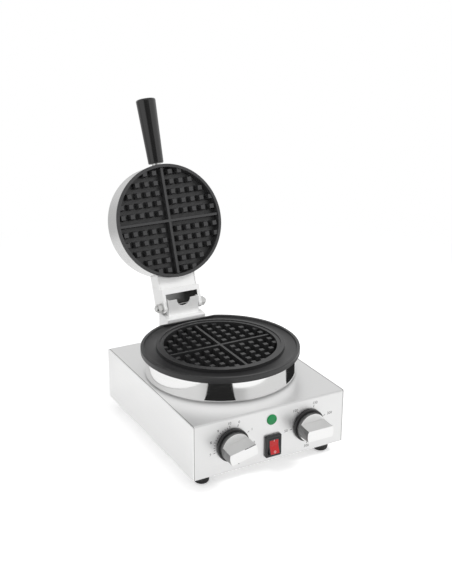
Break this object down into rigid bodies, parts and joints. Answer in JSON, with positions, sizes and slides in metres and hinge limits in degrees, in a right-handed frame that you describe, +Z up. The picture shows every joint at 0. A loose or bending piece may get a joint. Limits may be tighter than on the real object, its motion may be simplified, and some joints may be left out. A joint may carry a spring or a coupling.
{
  "type": "waffle maker",
  "caption": "Countertop round waffle baker: steel housing with dials, collared black lower plate and a hinged round lid with a long handle, shown open.",
  "frame": {"origin": "on the worktop, under the centre of the whole object's box with its lid open", "axes": "+Z up, +X to the right as seen from the front, +Y to the rear, where the lid's hinge is"},
  "size_m": [0.25, 0.4602, 0.4802],
  "materials": {
    "brushed_steel": "brushed stainless sheet",
    "polished_steel": "polished stainless sheet",
    "hinge_steel": "satin stainless sheet",
    "steel": "plain zinc-plated screws and nuts",
    "bright_fitting": "polished",
    "black_plate": "black non-stick coating, satin",
    "black_handle": "glossy black phenolic",
    "silver_knob": "silver satin",
    "black_plastic": "satin black",
    "green_lens": "translucent green",
    "red_rocker": "glossy red",
    "foot_rubber": "matt black",
    "element_steel": "oxidised steel sheath",
    "inner_sheet": "plain aluminised sheet"
  },
  "bodies": {
    "base": {"base_wrap": "brushed_steel", "side_panel_left": "brushed_steel", "side_panel_right": "brushed_steel", "bottom_plate": "brushed_steel", "foot_front_left": "foot_rubber", "foot_rear_left": "foot_rubber", "foot_front_right": "foot_rubber", "foot_rear_right": "foot_rubber", "foot_screws": "steel", "case_screws": "steel", "lower_drum": "polished_steel", "lower_plate": "black_plate", "lower_heating_element": "element_steel", "lower_clamp_plate": "inner_sheet", "lower_studs": "steel", "lower_nuts": "steel", "lower_heat_shield": "inner_sheet", "hinge_pedestal": "hinge_steel", "pedestal_screws": "steel", "hinge_bracket": "hinge_steel", "bracket_screws": "steel", "pivot_rod": "bright_fitting", "pivot_spacers": "bright_fitting", "pivot_washers": "bright_fitting", "pivot_nuts": "bright_fitting", "timer_body": "black_plastic", "thermostat_body": "black_plastic", "indicator_lens": "green_lens", "indicator_housing": "black_plastic", "switch_housing": "black_plastic", "cable_gland": "black_plastic", "gland_nut": "black_plastic", "terminal_block": "black_plastic"},
    "lid": {"lid_shell": "polished_steel", "upper_plate": "black_plate", "upper_heating_element": "element_steel", "upper_clamp_plate": "inner_sheet", "upper_studs": "steel", "upper_nuts": "steel", "upper_heat_shield": "inner_sheet", "hinge_arm": "hinge_steel", "arm_screws": "steel", "arm_front_panel": "hinge_steel", "handle_stud": "steel", "handle_ferrule": "bright_fitting", "handle": "black_handle"},
    "timer": {"timer_ring": "black_plastic", "timer_knob": "silver_knob", "timer_shaft": "steel"},
    "temperature": {"temperature_ring": "black_plastic", "temperature_knob": "silver_knob", "temperature_shaft": "steel"},
    "rocker": {"power_rocker": "red_rocker"}
  },
  "joints": [
    {"name": "lid_hinge", "type": "hinge", "parent": "base", "child": "lid", "pos_m": [0, 0.09586, 0.159], "axis": [1, 0, 0], "range_deg": [0, 110]},
    {"name": "timer_turn", "type": "hinge", "parent": "base", "child": "timer", "pos_m": [-0.063, -0.21314, 0.06], "axis": [0, 1, 0], "range_deg": [0, 300]},
    {"name": "temperature_turn", "type": "hinge", "parent": "base", "child": "temperature", "pos_m": [0.063, -0.21314, 0.06], "axis": [0, 1, 0], "range_deg": [0, 270]},
    {"name": "rocker_tip", "type": "hinge", "parent": "base", "child": "rocker", "pos_m": [0.003, -0.19764, 0.042], "axis": [1, 0, 0], "range_deg": [0, 20]}
  ]
}
